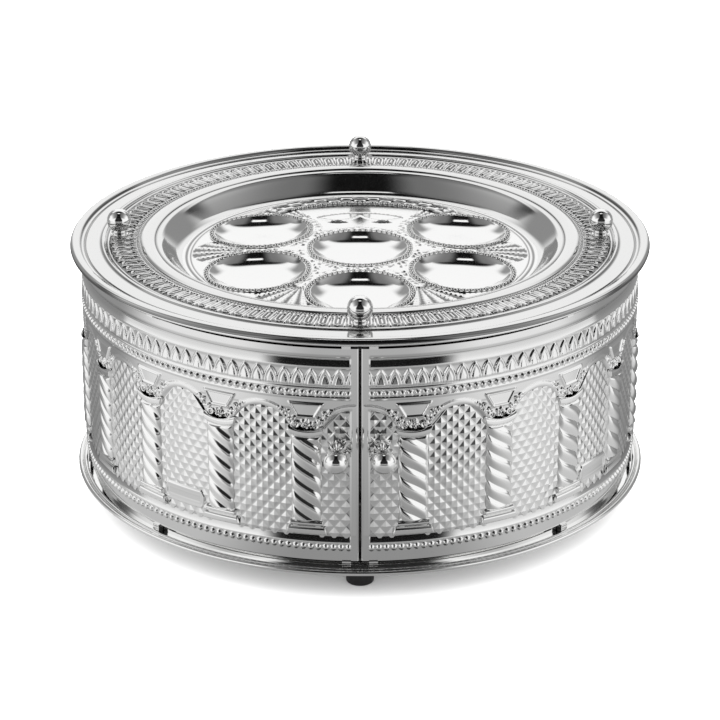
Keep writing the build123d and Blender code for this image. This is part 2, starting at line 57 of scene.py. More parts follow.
class Shade:
    """A socket in a node tree. Sums on it add Math nodes to that tree."""

    def __init__(self, tree, socket=None):
        self.tree = tree
        self.socket = socket

    def node(self, kind, output=0, settings=None, inputs=None):
        """Add a node: its settings first, then the values or links of its sockets."""
        made = self.tree.nodes.new(kind)
        for name, value in (settings or {}).items():
            setattr(made, name, value)
        for name, value in (inputs or {}).items():
            if isinstance(value, Shade):
                self.tree.links.new(value.socket, made.inputs[name])
            else:
                made.inputs[name].default_value = value
        return Shade(self.tree, made.outputs[output] if made.outputs else None)

    def math(self, operation, first, second=0.0):
        return self.node("ShaderNodeMath", 0, {"operation": operation}, {0: first, 1: second})

    def step(self, start, end):
        """0 below start and 1 above end, with a soft change between."""
        settings = {"interpolation_type": "SMOOTHSTEP"}
        inputs = {"Value": self, "From Min": start, "From Max": end}
        return self.node("ShaderNodeMapRange", 0, settings, inputs)

    def __add__(self, other):
        return self.math("ADD", self, other)

    def __radd__(self, other):
        return self.math("ADD", other, self)

    def __sub__(self, other):
        return self.math("SUBTRACT", self, other)

    def __rsub__(self, other):
        return self.math("SUBTRACT", other, self)

    def __mul__(self, other):
        return self.math("MULTIPLY", self, other)

    def __rmul__(self, other):
        return self.math("MULTIPLY", other, self)

    def __truediv__(self, other):
        return self.math("DIVIDE", self, other)

    def __abs__(self):
        return self.math("ABSOLUTE", self)


def blank_material(name):
    """A new material with an empty tree, and the tree as a Shade."""
    material = bpy.data.materials.new(name)
    material.use_nodes = True
    material.node_tree.nodes.clear()
    return material, Shade(material.node_tree)


def surfaced(shade, inputs):
    """Close a material with one Principled shader."""
    shader = shade.node("ShaderNodeBsdfPrincipled", 0, {}, inputs)
    shade.node("ShaderNodeOutputMaterial", 0, {}, {"Surface": shader})


def turned(name, outline, spot=(0.0, 0.0), steps=48, crease=40):
    """A piece turned about an upright axis from its outline of (radius, height) points."""
    bpy.ops.object.select_all(action="DESELECT")
    bpy.ops.mesh.primitive_circle_add(vertices=len(outline))
    piece = bpy.context.object
    piece.name = name
    for vertex, (radius, height) in zip(piece.data.vertices, outline):
        vertex.co = (radius, 0, height)
    bpy.ops.object.mode_set(mode="EDIT")
    bpy.ops.mesh.select_all(action="SELECT")
    bpy.ops.mesh.spin(steps=steps, angle=math.tau, center=(0, 0, 0), axis=(0, 0, 1))
    bpy.ops.mesh.select_all(action="SELECT")
    bpy.ops.mesh.remove_doubles(threshold=0.01 * mm)
    bpy.ops.transform.translate(value=(spot[0], spot[1], 0))
    bpy.ops.mesh.normals_make_consistent(inside=False)
    bpy.ops.object.mode_set(mode="OBJECT")
    bpy.ops.object.shade_smooth_by_angle(angle=math.radians(crease))
    return piece


def arc(centre, radius, start, end, count):
    """Points of an outline on a round stretch, from one angle to another in degrees."""
    points = []
    for index in range(count + 1):
        turn = math.radians(start + (end - start) * index / count)
        points.append((centre[0] + radius * math.cos(turn), centre[1] + radius * math.sin(turn)))
    return points


def fitted(piece, body, slot, material, *nodes):
    """Give a finished piece its material and body, in place of its CAD nodes. The slot is not used."""
    piece.data.materials.clear()
    piece.data.materials.append(material)
    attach(piece, body)
    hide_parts(*nodes)


rubber, shade = blank_material("black rubber")
place = shade.node("ShaderNodeTexCoord", "Object")
dust = shade.node("ShaderNodeTexNoise", 0, {}, {"Vector": place, "Scale": 900.0, "Detail": 3.0})
surfaced(shade, {"Base Color": rubber_black, "Roughness": 0.45 + 0.2 * dust, "Specular IOR Level": 0.4})
for post in posts:
    low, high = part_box(f"{post}_foot")
    top_radius = (high.x - low.x) / 2
    base_radius = top_radius - foot_taper
    outline = [(0, low.z)]
    outline += arc((base_radius - foot_round, low.z + foot_round), foot_round, -90, 0, 6)
    outline += [(top_radius, high.z), (0, high.z)]
    middle = (low + high) / 2
    foot = turned(f"{post}_rubber_foot", outline, (middle.x, middle.y))
    fitted(foot, "drum", "black_rubber", rubber, f"{post}_foot")


# Tie rods, nuts, spacers, base plate and shelves
# Plain steel inside the drum: rods through tubes that hold the shelves apart, with a
# nut under the base plate. They keep the solids of the frame and get a satin finish.
steel_tone = (0.62, 0.62, 0.61, 1.0)


def finished(name, material):
    """Give a solid of the frame its material and leave its shape as it is."""
    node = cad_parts[name]
    node.data.materials.clear()
    node.data.materials.append(material)


steel, shade = blank_material("satin steel")
place = shade.node("ShaderNodeTexCoord", "Object")
grain = shade.node("ShaderNodeTexNoise", 0, {}, {"Vector": place, "Scale": 160.0, "Detail": 4.0})
surfaced(shade, {"Base Color": steel_tone, "Metallic": 1.0, "Roughness": 0.26 + 0.12 * grain})
inner_steel = ["base_plate", "lower_shelf", "upper_shelf", "rod_nuts"]
inner_steel += ["lower_spacers", "middle_spacers", "upper_spacers"]
inner_steel += [f"{post}_tie_rod" for post in posts]
inner_steel += ["left_knob_screw", "right_knob_screw"]
for name in inner_steel:
    finished(name, steel)


# Base ring
# Silver-plated sheet spun to a trough for the door guides, with an inner rail and an
# outer edge rolled round a wire. The tie rods clamp its flange on the base plate.
ring_steps = 240
silver_tone = (0.93, 0.93, 0.925, 1.0)
rail_sheet = 1.2 * mm
rail_height = 4.0 * mm
base_wire = 1.6 * mm
base_roll = 1.4 * mm
silver, shade = blank_material("polished silver plate")
place = shade.node("ShaderNodeTexCoord", "Object")
haze = shade.node("ShaderNodeTexNoise", 0, {}, {"Vector": place, "Scale": 35.0, "Detail": 5.0})
surfaced(shade, {"Base Color": silver_tone, "Metallic": 1.0, "Roughness": 0.05 + 0.04 * haze})
low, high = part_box("base_ring")
edge = high.x
trough_floor = high.z - rail_height
rail_outer = 174.7 * mm
flange_inner = 146 * mm
sheet = 1.5 * mm
wire_centre = (edge - base_wire, trough_floor - sheet + base_wire)
roll_centre = (wire_centre[0] - base_wire - base_roll, trough_floor + 0.4 * mm)
outline = [(flange_inner, low.z), (rail_outer - rail_sheet, low.z)]
outline += [(rail_outer + 0.8 * mm, trough_floor - sheet), (wire_centre[0], trough_floor - sheet)]
outline += arc(wire_centre, base_wire, -90, 150, 18)
outline += [(wire_centre[0] - base_wire - 0.05 * mm, trough_floor + 0.05 * mm)]
outline += arc(roll_centre, base_roll, 20, 190, 14)
outline += [(rail_outer, trough_floor), (rail_outer, high.z - 0.5 * mm), (rail_outer - 0.4 * mm, high.z)]
outline += [(rail_outer - rail_sheet, high.z), (rail_outer - rail_sheet, low.z + sheet)]
outline += [(flange_inner, low.z + sheet)]
base_ring = turned("base_ring_rolled", outline, steps=ring_steps, crease=35)
fitted(base_ring, "drum", "polished_silver", silver, "base_ring")


# Rear walls
# Two quarters of thin plated sheet, pressed with the same die as the doors: an arcade of
# twisted columns over studs, between mouldings, beads and leaves. They stand inside the
# doors' path and are clamped between the two rings.
door_low, door_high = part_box("right_door")
door_bottom = door_low.z / mm
door_height = (door_high.z - door_low.z) / mm
sheet_thickness = 1.2
# Dark grey of the shade painted into the hollows
hollow_shadow = (0.1, 0.1, 0.1, 1.0)
# Sizes of the pattern: the columns' pitch in degrees, levels over the door's edge in mm
column_pitch = 17.75
columns_per_panel = 5
column_bottom = 16.2
column_height = 69.4
half_column = 9.0
arch_foot = 83.8
arch_rise = 14.2
bay_floor = 16.8
bay_end_strip = 5.8
studs_per_bay = 7.5
stud_pitch_up = 8.7
stud_middle = 57.4
stud_channel = 0.45
stud_point = 0.1
stud_foot = -0.55
flower_level = 88.6
key_bottom = 92.6
key_top = 102.4
plate_level = 27.5
beads_per_panel = 61
bead_radius = 1.75
leaves_per_panel = 34


def points_of(piece):
    """The places of a piece's vertices, one row each."""
    flat = np.zeros(len(piece.data.vertices) * 3)
    piece.data.vertices.foreach_get("co", flat)
    return flat.reshape(-1, 3)


def set_points(piece, points):
    """Move a piece's vertices to new places."""
    piece.data.vertices.foreach_set("co", points.ravel())
    piece.data.update()


def new_grid(name, columns, rows):
    """A flat net to bend into a piece, and the places of its vertices from -1 to 1."""
    bpy.ops.object.select_all(action="DESELECT")
    bpy.ops.mesh.primitive_grid_add(x_subdivisions=columns, y_subdivisions=rows, size=2)
    grid = bpy.context.object
    grid.name = name
    return grid, points_of(grid)


def round_axis(out, turn, height):
    """Places round the drum's axis, with turns counted from the seam to the right."""
    return np.column_stack((out * np.sin(turn), -out * np.cos(turn), height))


def mark_painted_shade(piece, depth):
    """Mark at each vertex how much painted shade the piece's material lays there."""
    mark = piece.data.attributes.new("painted_shade", "FLOAT", "POINT")
    mark.data.foreach_set("value", depth.astype(np.float32))


def rounded(distance, reach):
    """Half-round section: 1 on the line and 0 at its reach."""
    return np.sqrt(np.clip(1 - (distance / reach) ** 2, 0, 1))


def ramped(start, end, value):
    """0 at start and 1 at end, with a soft change between."""
    share = np.clip((value - start) / (end - start), 0, 1)
    return share * share * (3 - 2 * share)


def bead_row(along, level, middle, size, fillets):
    """Row of round beads, with thin fillets on the given sides of it."""
    relief = 1.7 * rounded(np.hypot((along % 1 - 0.5) * size * 2.35, level - middle), size)
    for side in fillets:
        relief = np.maximum(relief, 0.6 * rounded(level - middle - side * 1.65 * size, 0.7))
    return relief


def leaf_row(along, level, foot, height, pitch):
    """Row of pointed leaves, each with a raised edge and a tongue that falls to its tip."""
    across = np.abs(along % 1 - 0.5) * pitch
    share = np.clip((level - foot) / height, 0, 1)
    leaf_edge = 0.5 * pitch * (1 - share**2.4) - across
    inner_edge = 0.34 * pitch * (1 - np.clip(share / 0.8, 0, 1) ** 2.2) - across
    leaf = 0.9 * rounded(leaf_edge - 0.75, 0.85) - 0.4 * ramped(0.2, -0.6, leaf_edge)
    leaf = leaf + 1.3 * (1 - share) * ramped(-0.3, 1.1, inner_edge)
    return leaf * ramped(-0.2, 0.4, level - foot) * ramped(0, 0.3, foot + height - level)


def bulged(distance, reach):
    """Soft round section: 1 on the line and 0 at its reach."""
    return np.clip(1 - (distance / reach) ** 2, 0, 1)


def garland(across, level):
    """Flower over the column's head, with scrolled leaves that climb beside the keystone."""
    turn = np.arctan2(level - flower_level, across)
    reach = np.hypot(across, level - flower_level)
    relief = 1.3 * bulged(reach - 2.2 - 0.6 * np.cos(5 * turn), 1.1)
    relief = np.maximum(relief, 1.3 * bulged(reach, 1.0))
    side = np.abs(across)
    scrolls = ((5.8, 87.8, 2.6), (9.6, 89.4, 2.7), (12.8, 92.6, 2.5), (15.0, 96.2, 2.3))
    scrolls += ((17.6, 99.2, 2.0), (20.4, 101.0, 1.6), (7.4, 91.8, 1.5), (11.0, 95.6, 1.4))
    for scroll_across, scroll_level, size in scrolls:
        spread = np.hypot(side - scroll_across, level - scroll_level)
        curl = np.arctan2(level - scroll_level, side - scroll_across)
        ring = bulged(spread - 0.68 * size - 0.16 * size * curl / math.pi, 0.34 * size)
        relief = np.maximum(relief, 1.2 * np.maximum(ring, bulged(spread, 0.26 * size)))
    return relief - 0.25


def bay_edge(angle, level, radius, first_column):
    """Distance in mm from the edge of the nearest arched bay, positive inside it."""
    arc_mm = math.radians(1) * radius
    bay = np.clip(np.round((angle - first_column) / column_pitch + 0.5), 0, columns_per_panel)
    across = np.abs(angle - first_column - column_pitch * (bay - 0.5)) * arc_mm
    half_bay = column_pitch / 2 * arc_mm - half_column
    arch_radius = (half_bay**2 + arch_rise**2) / (2 * arch_rise)
    arch_middle = arch_foot + arch_rise - arch_radius
    inside = arch_radius - np.hypot(across, level - arch_middle)
    inside = np.where(level < arch_foot, half_bay - across, inside)
    end_margin = np.minimum(angle, 90 - angle) * arc_mm
    return np.minimum(np.minimum(inside, level - bay_floor), end_margin - bay_end_strip)


def stamped_relief(angle, level, radius, first_column):
    """Height of the pressed pattern in mm over the plain sheet: angle in degrees from the
    panel's left end, level in mm above the door's lower edge."""
    arc_mm = math.radians(1) * radius
    place = np.clip(np.round((angle - first_column) / column_pitch), 0, columns_per_panel - 1)
    across = (angle - first_column - column_pitch * place) * arc_mm
    end_margin = np.minimum(angle, 90 - angle) * arc_mm

    # Arched bays sunk into the sheet with a soft edge
    inside_bay = bay_edge(angle, level, radius, first_column)
    relief = 0.4 * rounded(inside_bay + 2.0, 1.9) - 1.0 * ramped(-1.2, 1.7, inside_bay)

    # Plain plate low in the fourth bay, with a raised edge
    plate_across = np.abs(angle - first_column - 2.5 * column_pitch) * arc_mm
    plate_rise = np.abs(level - plate_level)
    plate_edge = np.minimum(15.5 - plate_across, 5.8 - plate_rise)
    plate_edge = np.minimum(plate_edge, 17.2 - plate_across - 0.7 * plate_rise)
    plate = 0.1 + 0.7 * rounded(plate_edge - 0.9, 0.9) + 0.35 * rounded(plate_edge - 2.7, 0.6)
    relief = np.where(plate_edge > 0, plate, relief)

    # Keystone with a raised border, and the garland round its foot
    key_share = (level - key_bottom) / (key_top - key_bottom)
    key_side = 5.5 + 5.6 * key_share - np.abs(across)
    key_edge = np.minimum(key_side, np.minimum(level - key_bottom, (key_top - level) * 1.4))
    keystone = 0.3 * ramped(0, 0.6, key_edge) + 0.9 * bulged(key_edge - 0.9, 0.9)
    relief = np.where(key_edge > 0, keystone, relief)
    spread = np.abs(across) * 0.62 + np.abs(level - 88.0 - 0.62 * np.abs(across)) * 1.1
    in_garland = (level > 84.5) & (level < 98.5) & (spread < 11.5)
    in_garland = in_garland & (inside_bay < 0.3) & (key_edge < 0)
    relief = np.where(in_garland, garland(across, level), relief)

    # Bead rows, leaves and sloping hollows that run along the sheet
    foot_beads = bead_row(angle / 90 * beads_per_panel, level, 8.9, bead_radius, (1,))
    head_beads = bead_row(angle / 90 * beads_per_panel, level, 108.9, bead_radius, (-1, 1))
    leaf_pitch = 90 / leaves_per_panel
    leaves = leaf_row(angle / leaf_pitch, level, 113.8, 10.4, leaf_pitch * arc_mm)
    hollows = np.interp(level, (11.9, 12.4, 16.4, 17.0), (0, 0.3, -1.1, 0))
    hollows = hollows + np.interp(level, (124.7, 125.2, 131.0, 132.0), (0, 0.5, -1.4, 0))
    relief = np.where((level < 17.0) | (level > 103), 0.0, relief)
    relief = relief + (foot_beads + head_beads + leaves + hollows) * ramped(5.2, 6.0, end_margin)
    return relief - 0.9 * ramped(1.6, 0.4, end_margin)


def stamped_sheet(name, radius, first, last, start, bottom, top, columns, first_column):
    """A pressed wall from one angle to another, turned to its place round the drum. Its
    rows lie closer together where the pattern is finer."""
    bands = ((bottom, 3), (4.0, 3), (6.0, 8), (11.9, 8), (17.0, 18), (34.0, 16), (80.0, 42))
    bands += ((103.2, 2), (105.0, 13), (113.1, 17), (124.7, 10), (132.0, 3), (top, 0))
    levels = []
    for (low, rows), (high, _) in zip(bands, bands[1:]):
        levels += [low + (high - low) * row / rows for row in range(rows)]
    levels.append(top)
    rows = len(levels)
    sheet, flat = new_grid(name, columns, rows + 2)
    line = np.rint((flat[:, 1] + 1) / 2 * (rows + 2)).astype(int)
    angle = first + (last - first) * (flat[:, 0] + 1) / 2
    # The first lines are the pressed face, then the plain inner face closes the loop
    level = np.array(levels + [top, bottom, bottom])[line]
    relief = stamped_relief(angle, level, radius, first_column)
    relief = np.where((line == rows) | (line == rows + 1), -sheet_thickness, relief)
    turn = np.radians(start + angle)
    set_points(sheet, round_axis((radius + relief) * mm, turn, (door_bottom + level) * mm))
    # Painted shade where the sheet is pressed low, as in the bays and grooves
    mark_painted_shade(sheet, ramped(0.7, -0.9, relief))
    bpy.ops.object.mode_set(mode="EDIT")
    bpy.ops.mesh.select_all(action="SELECT")
    bpy.ops.mesh.remove_doubles(threshold=0.002 * mm)
    bpy.ops.mesh.fill_holes(sides=0)
    bpy.ops.mesh.select_all(action="SELECT")
    bpy.ops.mesh.normals_make_consistent(inside=False)
    bpy.ops.object.mode_set(mode="OBJECT")
    bpy.ops.object.shade_smooth_by_angle(angle=math.radians(70))
    return sheet


def joined(name, pieces):
    """Several pieces made one."""
    bpy.ops.object.select_all(action="DESELECT")
    for piece in pieces:
        piece.select_set(True)
    bpy.context.view_layer.objects.active = pieces[0]
    bpy.ops.object.join()
    pieces[0].name = name
    return pieces[0]


def twisted_columns(name, radius, start, first_column):
    """The five columns of a panel: each a strip with soft strands wound round it, on a
    plinth of two steps and under a cushion-shaped head."""
    columns = []
    profile_level = (16.2, 16.3, 21.6, 22.5, 22.6, 26.2, 26.5, 27.2, 78.6, 79.6, 79.8, 85.4, 85.6)
    profile_width = (12.8, 13.0, 11.4, 10.8, 10.0, 10.2, 9.2, 9.0, 9.0, 9.2, 9.8, 11.4, 10.8)
    steps = ((16.2, 22.5, 3.0, 2.2), (22.5, 26.4, 3.1, 1.7), (79.7, 85.6, 2.8, 2.0))
    for place in range(columns_per_panel):
        strip, flat = new_grid(f"{name}_{place}", 40, 160)
        level = column_bottom + column_height * (flat[:, 1] + 1) / 2
        share = np.sin(flat[:, 0] * math.pi / 2)
        across = share * np.interp(level, profile_level, profile_width)
        section = np.sqrt(np.clip(1 - share**2, 0, 1))
        strand_turn = (level + 5.6 * flat[:, 0] * math.pi / 2) / 10.0
        strand = bulged(strand_turn % 1 - 0.5, 0.5)
        relief = -1.0 + 2.5 * section + 1.6 * strand * np.minimum(section * 1.6, 1)
        for low, high, rise, soft in steps:
            edge = np.minimum(level - low, high - level)
            step = -1.0 + rise * bulged(np.clip(soft - edge, 0, soft), soft) ** 0.7
            step = step - (1.0 + step) * (1 - np.minimum(section * 3.2, 1)) ** 2
            relief = np.where(edge >= 0, np.where(section > 0, step, -1.0), relief)
        out = (radius + relief) * mm
        turn = math.radians(start + first_column + column_pitch * place) + across / radius
        # The ends of the head curl upwards
        height = (door_bottom + level + 2.2 * share**2 * ramped(78, 81, level)) * mm
        set_points(strip, round_axis(out, turn, height))
        # Painted shade where the strip lies low
        mark_painted_shade(strip, ramped(0.6, -0.9, relief))
        bpy.ops.object.shade_smooth()
        columns.append(strip)
    return joined(name, columns)


def stud_field(name, radius, start, first_column):
    """The pointed studs that fill a panel's bays: a net of diamonds with channels between
    them, each drawn up to a point, cut to the arches and bent round the drum."""
    net = 66
    net_lead = 12
    wide = column_pitch / studs_per_bay * math.radians(1) * radius
    bay_middle = math.radians(first_column - column_pitch / 2) * radius
    studs, flat = new_grid(name, net, net)
    rise = np.rint((flat[:, 0] + 1) / 2 * net) - net_lead
    fall = np.rint((flat[:, 1] + 1) / 2 * net) - net_lead
    along = (rise + fall) / 2 * wide + bay_middle
    level = (rise - fall) / 2 * stud_pitch_up + stud_middle
    set_points(studs, np.column_stack((along, level, 0 * level)) * mm)
    middles = np.zeros(len(studs.data.polygons) * 3)
    studs.data.polygons.foreach_get("center", middles)
    middles = middles.reshape(-1, 3) / mm
    angle = np.degrees(middles[:, 0] / radius)
    outside = bay_edge(angle, middles[:, 1], radius, first_column) < -0.6
    # The choice is kept as faces: by vertices, the whole new net would count as chosen
    bpy.context.tool_settings.mesh_select_mode = (False, False, True)
    studs.data.polygons.foreach_set("select", outside)
    bpy.ops.object.mode_set(mode="EDIT")
    bpy.ops.mesh.delete(type="FACE")
    bpy.ops.mesh.select_all(action="SELECT")
    bpy.ops.mesh.normals_make_consistent(inside=False)
    bpy.ops.mesh.inset(thickness=stud_channel * mm, depth=0.0, use_individual=True)
    bpy.ops.mesh.poke(offset=0.0)
    bpy.ops.object.mode_set(mode="OBJECT")
    along, level, _ = points_of(studs).T / mm
    # The points made by poking lie half a diamond off the net and are drawn outwards
    off_net = ((along - bay_middle) / wide + (level - stud_middle) / stud_pitch_up) % 1
    point = np.abs(off_net - 0.5) < 0.1
    out = (radius + np.where(point, stud_point, stud_foot)) * mm
    turn = math.radians(start) + along / radius
    set_points(studs, round_axis(out, turn, (door_bottom + level) * mm))
    bpy.ops.object.mode_set(mode="EDIT")
    bpy.ops.mesh.select_all(action="SELECT")
    bpy.ops.mesh.normals_make_consistent(inside=False)
    bpy.ops.object.mode_set(mode="OBJECT")
    return studs


def silver_with_painted_shade(name, tone, depth):
    """Silver plate with painted shade, darker by a given depth where a piece is marked for it."""
    material, shade = blank_material(name)
    painted_shade = shade.node("ShaderNodeAttribute", "Fac", {"attribute_name": "painted_shade"})
    place = shade.node("ShaderNodeTexCoord", "Object")
    haze = shade.node("ShaderNodeTexNoise", 0, {}, {"Vector": place, "Scale": 40.0, "Detail": 5.0})
    # Painted shade: the tone is mixed towards dark grey where the piece is marked
    mixed = {0: depth * painted_shade, 6: tone, 7: hollow_shadow}
    colour = shade.node("ShaderNodeMix", 2, {"data_type": "RGBA"}, mixed)
    surfaced(shade, {"Base Color": colour, "Metallic": 1.0, "Roughness": 0.06 + 0.05 * haze})
    return material


# Silver plate of the walls and doors, with light painted shade in their hollows
stamped_silver_painted_shade = silver_with_painted_shade("stamped silver plate", silver_tone, 0.32)


def fit_panel(sheet, side, kind, body, node, radius, start, first_column):
    """Add the studs and columns to a stamped sheet, and fit all three to one CAD node."""
    studs = stud_field(f"{side}_{kind}_studs", radius, start, first_column)
    columns = twisted_columns(f"{side}_{kind}_columns", radius, start, first_column)
    for piece in (sheet, studs, columns):
        fitted(piece, body, "polished_silver", stamped_silver_painted_shade, node)


wall_radius = 169.5
wall_columns = 440
wall_first_column = 9.5
wall_low, wall_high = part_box("right_rear_wall")
wall_bottom = wall_low.z / mm - door_bottom
wall_top = wall_high.z / mm - door_bottom
for side, first, last, start in (("right", -3.82, 89.82, 90), ("left", 0.18, 93.82, 180)):
    name = f"{side}_stamped_wall"
    levels = (wall_bottom, wall_top)
    wall = stamped_sheet(name, wall_radius, first, last, start, *levels, wall_columns, wall_first_column)
    fit_panel(wall, side, "wall", "drum", f"{side}_rear_wall", wall_radius, start, wall_first_column)


# Top ring
# Plated sheet that lies on the spacers under the tray. Its rail and roof guide the doors,
# and its outer edge is rolled round a thin wire.
top_wire = 1.2 * mm
top_sheet = 1.2 * mm
low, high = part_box("top_ring")
edge = high.x
roof = 166.2 * mm
nest = 163 * mm
flange_top = 168.2 * mm
wire_centre = (edge - top_wire, roof - 0.3 * mm + top_wire)
outline = [(flange_inner, flange_top - top_sheet), (nest, flange_top - top_sheet)]
outline += [(nest + 0.8 * mm, roof)]
outline += [(rail_outer - rail_sheet, roof), (rail_outer - rail_sheet, low.z), (rail_outer, low.z)]
outline += [(rail_outer, roof), (wire_centre[0] - 0.9 * mm, roof)]
outline += arc(wire_centre, top_wire, 230, 490, 18)
outline += [(wire_centre[0] - 1.3 * mm, roof + top_sheet)]
outline += [(nest + 0.8 * mm, roof + top_sheet), (nest, flange_top), (flange_inner, flange_top)]
top_ring = turned("top_ring_rolled", outline, steps=ring_steps, crease=35)
fitted(top_ring, "drum", "polished_silver", silver, "top_ring")


# Tray rim
# The tray is one pressed and plated sheet. Its rim has a rolled edge, a flat ring, a fine
# ridge, a band of egg and dart, a round moulding and a deep wall down to the floor.
_, tray_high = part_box("seder_tray")
tray_edge = tray_high.x / mm
band_top = 169.2
floor_level = band_top - 13.4
floor_radius = 114.0
well = arc((floor_radius - 4.0, floor_level + 12.0), 12.0, -90, -45, 12)
well += [(120.6, floor_level + 5.6), (123.4, floor_level + 8.4), (125.6, floor_level + 10.8)]
well += [(126.9, floor_level + 12.4), (128.2, band_top - 0.3), (129.4, band_top - 0.05)]
rim_points = well + [(130.4, band_top), (131.0, band_top - 0.35)]
rim_points += arc((135.5, band_top - 7.0), 8.3, 122, 58, 12)
rim_points += [(140.2, band_top - 0.4), (140.8, band_top - 0.9), (161.2, band_top - 0.9)]
rim_points += [(162.0, band_top - 0.2)] + arc((163.9, band_top - 0.5), 1.5, 160, 20, 8)
rim_points += [(165.7, band_top - 0.1), (166.2, band_top - 0.12), (166.8, band_top - 0.15)]
rim_points += [(173.8, band_top - 0.55), (174.6, band_top - 0.6), (175.2, band_top - 1.2)]
rim_points += [(176.0, band_top - 1.2), (176.4, band_top - 0.5), (177.4, band_top - 0.3)]
rim_points += [(178.0, band_top - 0.15), (178.4, band_top + 0.8), (178.8, band_top + 1.3)]
rim_points += [(179.5, band_top + 1.65), (180.4, band_top + 1.9), (181.4, band_top + 2.0)]
rim_points += [(182.4, band_top + 1.9), (183.3, band_top + 1.6), (184.1, band_top + 1.05)]
rim_points += [(184.7, band_top + 0.3), (tray_edge, band_top - 0.5), (184.8, band_top - 1.0)]
rim_points += [(183.6, band_top - 1.2), (181.0, band_top - 1.2)]
rim_points += [(178.0, band_top - 1.9), (140.0, band_top - 1.9), (129.6, band_top - 1.2)]
rim_points += [(radius + 0.7, height - 0.7) for radius, height in well[-3::-1]]
outline = [(radius * mm, height * mm) for radius, height in rim_points]
tray_rim = turned("tray_rim", outline, steps=360, crease=35)
place = points_of(tray_rim)
reach = np.hypot(place[:, 0], place[:, 1]) / mm
# Painted shade: thin dark lines along the rim's grooves and round its outer edge
groove_painted_shade = np.zeros(len(reach))
for ring in (130.8, 140.6, 161.6, 165.6, 175.6, 178.2, 184.9):
    groove_painted_shade = np.maximum(groove_painted_shade, ramped(0.8, 0.2, np.abs(reach - ring)))
mark_painted_shade(tray_rim, groove_painted_shade)
# The rim gets a darker silver than the rest, as painted shade
rim_painted_shade_tone = (0.82, 0.82, 0.815, 1.0)
rim_silver_painted_shade = silver_with_painted_shade("silver plate of the rim", rim_painted_shade_tone, 0.8)
fitted(tray_rim, "drum", "polished_silver", rim_silver_painted_shade, "seder_tray")


# Egg and dart band
# Pressed ornament on the flat of the rim: round-ended tongues with a bar in each, darts
# between them, and a row of fine beads along the inner edge.
band_inner = 140.0
band_outer = 162.4
band_repeats = 110


def egg_and_dart(turn, radius):
    """Height of the band in mm: turn in repeats round the tray, radius in mm."""
    pitch = math.tau * radius / band_repeats
    across = (turn % 1 - 0.5) * pitch
    reach = radius - 142.0
    tongue = np.where(reach < 12.6, 3.1 - np.abs(across), 3.1 - np.hypot(across, reach - 12.6))
    relief = 1.1 * bulged(tongue - 0.65, 0.65) * ramped(2.6, 4.0, reach)
    bar = np.maximum(np.abs(across) - 0.2, 0) + np.maximum(np.abs(reach - 9.3) - 3.6, 0)
    relief = np.maximum(relief, 1.1 * bulged(bar, 0.65))
    gap = pitch / 2 - np.abs(across)
    dart = gap - 0.3 + 0.07 * np.maximum(12 - reach, 0)
    dart = np.where((reach > 4.5) & (reach < 17.0), dart, 9)
    relief = np.maximum(relief, 1.0 * bulged(np.maximum(dart, 0), 0.55))
    dash = np.hypot((turn * 3 % 1 - 0.5) * pitch / 3, (reach - 2.0) * 0.7)
    relief = np.maximum(relief, 0.9 * rounded(dash, 1.15))
    beads = np.hypot((turn * 4 % 1 - 0.5) * pitch / 4, reach + 0.8)
    relief = np.maximum(relief, 0.9 * rounded(beads, 1.0))
    return np.maximum(relief, 0.55 * rounded(reach - 18.4, 0.8))


def round_sheet(name, segments, inner, outer, rings, height):
    """A sheet laid out round the tray's axis and raised by a pattern, with painted shade marked where
    the pattern is low.
    """
    sheet, flat = new_grid(name, segments, rings)
    turn = np.pi * (flat[:, 0] + 1)
    radius = inner + (outer - inner) * (flat[:, 1] + 1) / 2
    relief, level = height(turn, radius)
    set_points(sheet, round_axis(radius, turn, level) * mm)
    # Painted shade where the pattern is low
    mark_painted_shade(sheet, ramped(0.6, 0.1, relief))
    bpy.ops.object.mode_set(mode="EDIT")
    bpy.ops.mesh.select_all(action="SELECT")
    bpy.ops.mesh.remove_doubles(threshold=0.002 * mm)
    bpy.ops.mesh.select_all(action="SELECT")
    bpy.ops.mesh.normals_make_consistent(inside=False)
    bpy.ops.object.mode_set(mode="OBJECT")
    bpy.ops.object.shade_smooth()
    return sheet


def band_height(turn, radius):
    """Relief and level of the egg and dart band, which drops under the rim at its edges."""
    relief = egg_and_dart(turn / math.tau * band_repeats, radius)
    edge_drop = 0.5 * ramped(161.6, band_outer, radius) + 0.5 * ramped(140.6, band_inner, radius)
    return relief, band_top - 0.7 + relief - edge_drop


band = round_sheet("egg_and_dart_band", 1760, band_inner, band_outer, 40, band_height)
# Silver plate of the tray's band, floor and dishes, with deep painted shade in their hollows
pressed_silver_painted_shade = silver_with_painted_shade("pressed silver plate of the tray", silver_tone, 0.9)
fitted(band, "drum", "polished_silver", pressed_silver_painted_shade, "seder_tray")


# Tray floor
# The bottom of the tray between the dishes rises to a level middle. It is pressed with
# sprays of leaves between the dishes, a plain cartouche in the sixth place and two fine
# rings along its edge.
dish_circle = 74.5
dish_radius = 30.0
dish_reach = 34.0
cartouche_middle = 20.0
dish_depth = 6.4
dish_lift = 0.4
floor_flat = dish_circle / 2
floor_rise = 3.7
floor_slope = floor_rise / (floor_radius - floor_flat)
dish_turns = (-120, -60, 0, 60, 120)
dish_spots = [(0.0, 0.0)]
for dish_turn in dish_turns:
    angle = math.radians(dish_turn)
    dish_spots.append((dish_circle * math.sin(angle), -dish_circle * math.cos(angle)))


